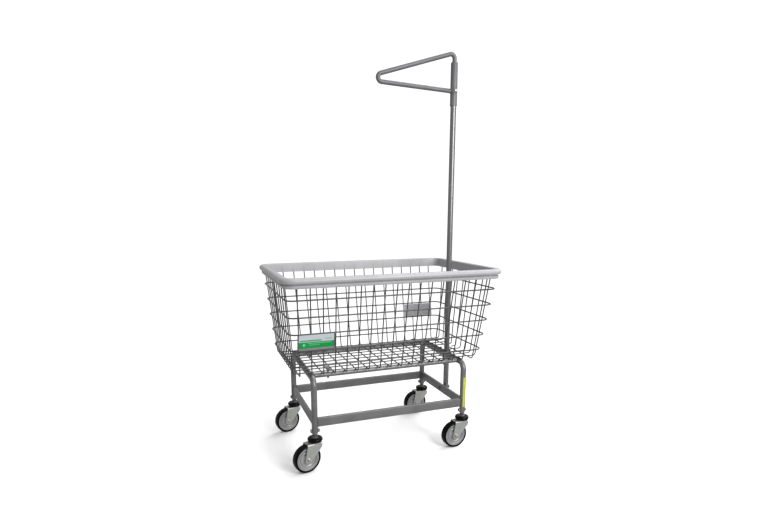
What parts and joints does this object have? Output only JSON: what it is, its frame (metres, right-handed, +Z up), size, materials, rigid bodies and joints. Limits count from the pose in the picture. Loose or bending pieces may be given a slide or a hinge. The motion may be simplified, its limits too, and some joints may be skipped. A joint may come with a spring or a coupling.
{
  "type": "laundry cart",
  "caption": "Wire laundry cart: flared basket with a vinyl rim on a tube base with swivel casters, and a post with a triangular hanger loop.",
  "frame": {"origin": "on the floor under the middle of the basket rim, at the centre of the whole cart's box", "axes": "+X along the cart towards the pole end, +Y across it towards the rear plate's side, +Z up"},
  "size_m": [0.958, 0.621, 1.7373],
  "materials": {
    "grey_enamel": "smooth grey baked enamel on steel tube, satin",
    "grey_wire": "grey plated and lacquered steel wire, satin",
    "zinc": "bright zinc plate, slightly greenish, semi gloss",
    "vinyl": "soft light grey vinyl extrusion, satin",
    "black_rubber": "moulded black rubber",
    "tyre_black": "black non-marking tread, satin",
    "wheel_grey": "moulded grey nylon, satin",
    "bush_nylon": "natural acetal",
    "sign_card": "printed card: silver upper band and green lower band, no text",
    "yellow_label": "plain yellow self-adhesive vinyl strip"
  },
  "bodies": {
    "cart": {"left_end_frame": "grey_enamel", "right_end_frame": "grey_enamel", "front_top_rail": "grey_enamel", "rear_top_rail": "grey_enamel", "front_lower_rail": "grey_enamel", "rear_lower_rail": "grey_enamel", "left_lower_rail": "grey_enamel", "right_lower_rail": "grey_enamel", "cross_wires": "grey_wire", "long_wires": "grey_wire", "ring_wire_1": "grey_wire", "ring_wire_2": "grey_wire", "ring_wire_3": "grey_wire", "ring_wire_4": "grey_wire", "ring_wire_5": "grey_wire", "rim_rod": "grey_wire", "rim_bumper": "vinyl", "basket_clips": "zinc", "clip_bolts": "zinc", "front_sign_frame": "grey_enamel", "front_sign_card": "sign_card", "rear_plate": "grey_enamel", "leg_label": "yellow_label", "pole_lower": "grey_enamel", "pole_upper": "grey_enamel", "pole_coupler": "zinc", "pole_spacers": "zinc", "pole_bolts": "zinc", "hanger_sleeve": "grey_enamel", "hanger_loop": "grey_enamel", "hanger_bolt": "zinc", "caster_stems": "grey_enamel", "stem_bolts": "grey_enamel", "rubber_bumpers": "black_rubber", "stem_washers": "zinc"},
    "caster_fl": {"fork_fl": "zinc", "axle_fl": "zinc", "bush_fl": "bush_nylon"},
    "wheel_fl": {"wheel_core_fl": "wheel_grey", "tyre_fl": "tyre_black"},
    "caster_fr": {"fork_fr": "zinc", "axle_fr": "zinc", "bush_fr": "bush_nylon"},
    "wheel_fr": {"wheel_core_fr": "wheel_grey", "tyre_fr": "tyre_black"},
    "caster_rl": {"fork_rl": "zinc", "axle_rl": "zinc", "bush_rl": "bush_nylon"},
    "wheel_rl": {"wheel_core_rl": "wheel_grey", "tyre_rl": "tyre_black"},
    "caster_rr": {"fork_rr": "zinc", "axle_rr": "zinc", "bush_rr": "bush_nylon"},
    "wheel_rr": {"wheel_core_rr": "wheel_grey", "tyre_rr": "tyre_black"}
  },
  "joints": [
    {"name": "swivel_fl", "type": "hinge", "parent": "cart", "child": "caster_fl", "pos_m": [-0.343, -0.2125, 0.12], "axis": [0, 0, 1], "continuous": true},
    {"name": "spin_fl", "type": "hinge", "parent": "caster_fl", "child": "wheel_fl", "pos_m": [-0.38164, -0.22285, 0.059], "axis": [-0.2588, 0.9659, 0], "continuous": true},
    {"name": "swivel_fr", "type": "hinge", "parent": "cart", "child": "caster_fr", "pos_m": [0.343, -0.2125, 0.12], "axis": [0, 0, 1], "continuous": true},
    {"name": "spin_fr", "type": "hinge", "parent": "caster_fr", "child": "wheel_fr", "pos_m": [0.3031, -0.21529, 0.059], "axis": [-0.0698, 0.9976, 0], "continuous": true},
    {"name": "swivel_rl", "type": "hinge", "parent": "cart", "child": "caster_rl", "pos_m": [-0.343, 0.2125, 0.12], "axis": [0, 0, 1], "continuous": true},
    {"name": "spin_rl", "type": "hinge", "parent": "caster_rl", "child": "wheel_rl", "pos_m": [-0.38198, 0.2035, 0.059], "axis": [-0.225, 0.9744, 0], "continuous": true},
    {"name": "swivel_rr", "type": "hinge", "parent": "cart", "child": "caster_rr", "pos_m": [0.343, 0.2125, 0.12], "axis": [0, 0, 1], "continuous": true},
    {"name": "spin_rr", "type": "hinge", "parent": "caster_rr", "child": "wheel_rr", "pos_m": [0.30302, 0.2111, 0.059], "axis": [-0.0349, 0.9994, 0], "continuous": true}
  ]
}
